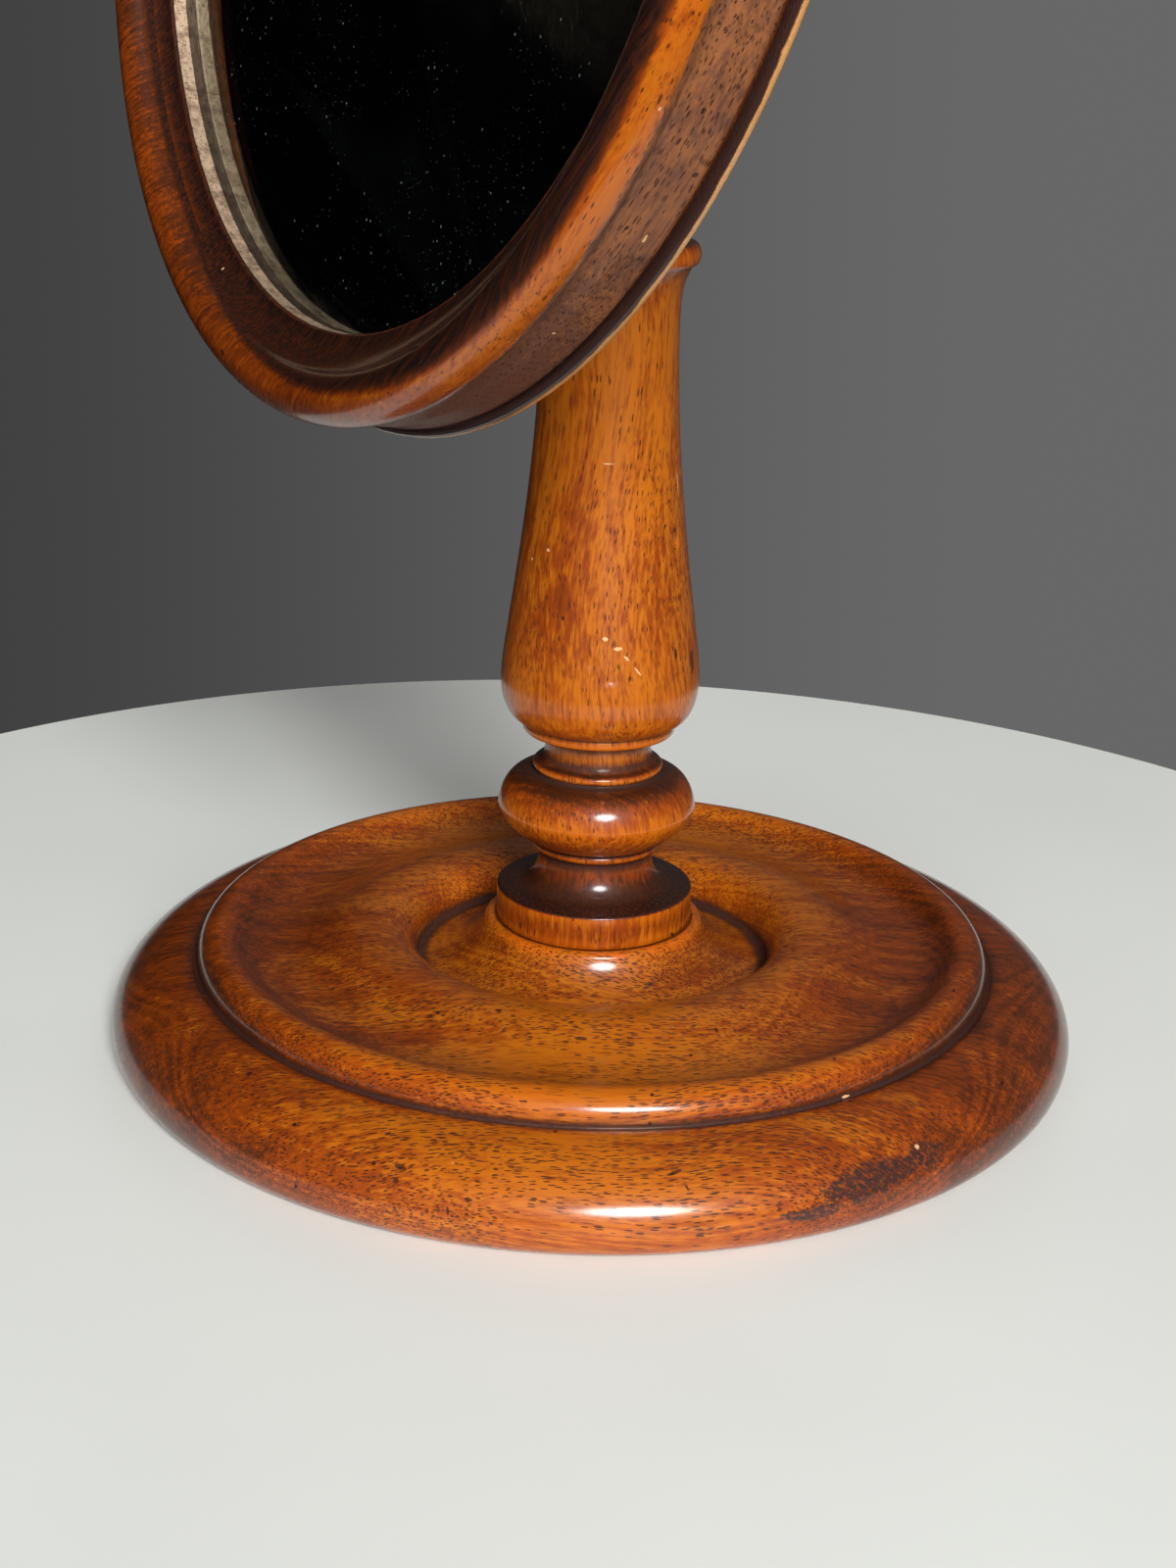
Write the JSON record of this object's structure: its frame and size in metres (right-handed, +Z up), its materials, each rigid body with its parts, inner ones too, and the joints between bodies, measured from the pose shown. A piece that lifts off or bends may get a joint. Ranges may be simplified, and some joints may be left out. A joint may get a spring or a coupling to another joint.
{
  "type": "table mirror",
  "caption": "Round tilting table mirror in a moulded wooden frame on a height-adjustable rod, with a turned column and a dished round base.",
  "frame": {"origin": "middle of the round foot, on the table", "axes": "+Z up along the column; the mirror faces -Y and leans back at rest; +X is the mirror's hinge axis"},
  "size_m": [0.2392, 0.2, 0.3686],
  "materials": {
    "mahogany_base": "old polished mahogany, amber to red-brown",
    "mahogany_column": "old polished mahogany, straight grain",
    "mahogany_frame": "old polished mahogany, darker in the cove",
    "mahogany_back": "dull oiled mahogany",
    "softwood": "raw pine with old glue",
    "brass": "tarnished lacquered brass",
    "steel": "oxidised steel",
    "leather": "dark greased leather",
    "fibre": "red-brown vulcanised fibre",
    "baize": "green wool baize",
    "glass": "clear old plate glass",
    "silvering": "silvering with small age spots",
    "slip": "silvered slip, speckled",
    "card": "brown card"
  },
  "bodies": {
    "stand": {"base": "mahogany_base", "baize_pad": "baize", "column": "mahogany_column", "tenon_wedge": "softwood", "collar_bush": "brass", "lock_insert": "brass"},
    "guide": {"rod_guide": "leather"},
    "rod": {"rod": "brass", "guide_screw": "steel", "fork_head": "brass", "cross_pin": "steel", "pivot_bolt": "brass", "fibre_washers": "fibre"},
    "mirror": {"hinge_plate": "brass", "plate_screws": "steel", "back_board": "mahogany_back", "board_screws": "steel", "mirror_frame": "mahogany_frame", "sight_slip": "slip", "mirror_glass": "glass", "silvering": "silvering", "backing_card": "card", "glass_blocks": "softwood"},
    "lock_pad": {"lock_pad": "leather"},
    "lock_screw": {"lock_screw": "brass"},
    "nut_washer": {"nut_washer": "steel"},
    "wing_nut": {"wing_nut": "brass"}
  },
  "joints": [
    {"name": "height_slide", "type": "slide", "parent": "stand", "child": "guide", "axis": [0, 0, 1], "range_m": [-0.045, 0.036]},
    {"name": "swivel", "type": "hinge", "parent": "guide", "child": "rod", "pos_m": [0, 0, 0.088], "axis": [0, 0, 1], "continuous": true},
    {"name": "tilt", "type": "hinge", "parent": "rod", "child": "mirror", "pos_m": [0, 0, 0.2435], "axis": [-1, 0, 0], "range_deg": [-11.4, 60]},
    {"name": "lock_pad_travel", "type": "slide", "parent": "stand", "child": "lock_pad", "axis": [-1, 0, 0], "range_m": [0, 0.0008]},
    {"name": "lock_screw_turn", "type": "hinge", "parent": "lock_pad", "child": "lock_screw", "pos_m": [-0.016, 0, 0.15], "axis": [-1, 0, 0], "range_deg": [0, 360]},
    {"name": "nut_washer_travel", "type": "slide", "parent": "rod", "child": "nut_washer", "axis": [1, 0, 0], "range_m": [0, 0.0008]},
    {"name": "wing_nut_turn", "type": "hinge", "parent": "nut_washer", "child": "wing_nut", "pos_m": [0.012, 0, 0.2435], "axis": [1, 0, 0], "range_deg": [0, 360]}
  ],
  "couplings": [
    {"joint": "lock_pad_travel", "follows": "lock_screw_turn", "m_per_rad": 0.000127},
    {"joint": "nut_washer_travel", "follows": "wing_nut_turn", "m_per_rad": 0.000127}
  ]
}
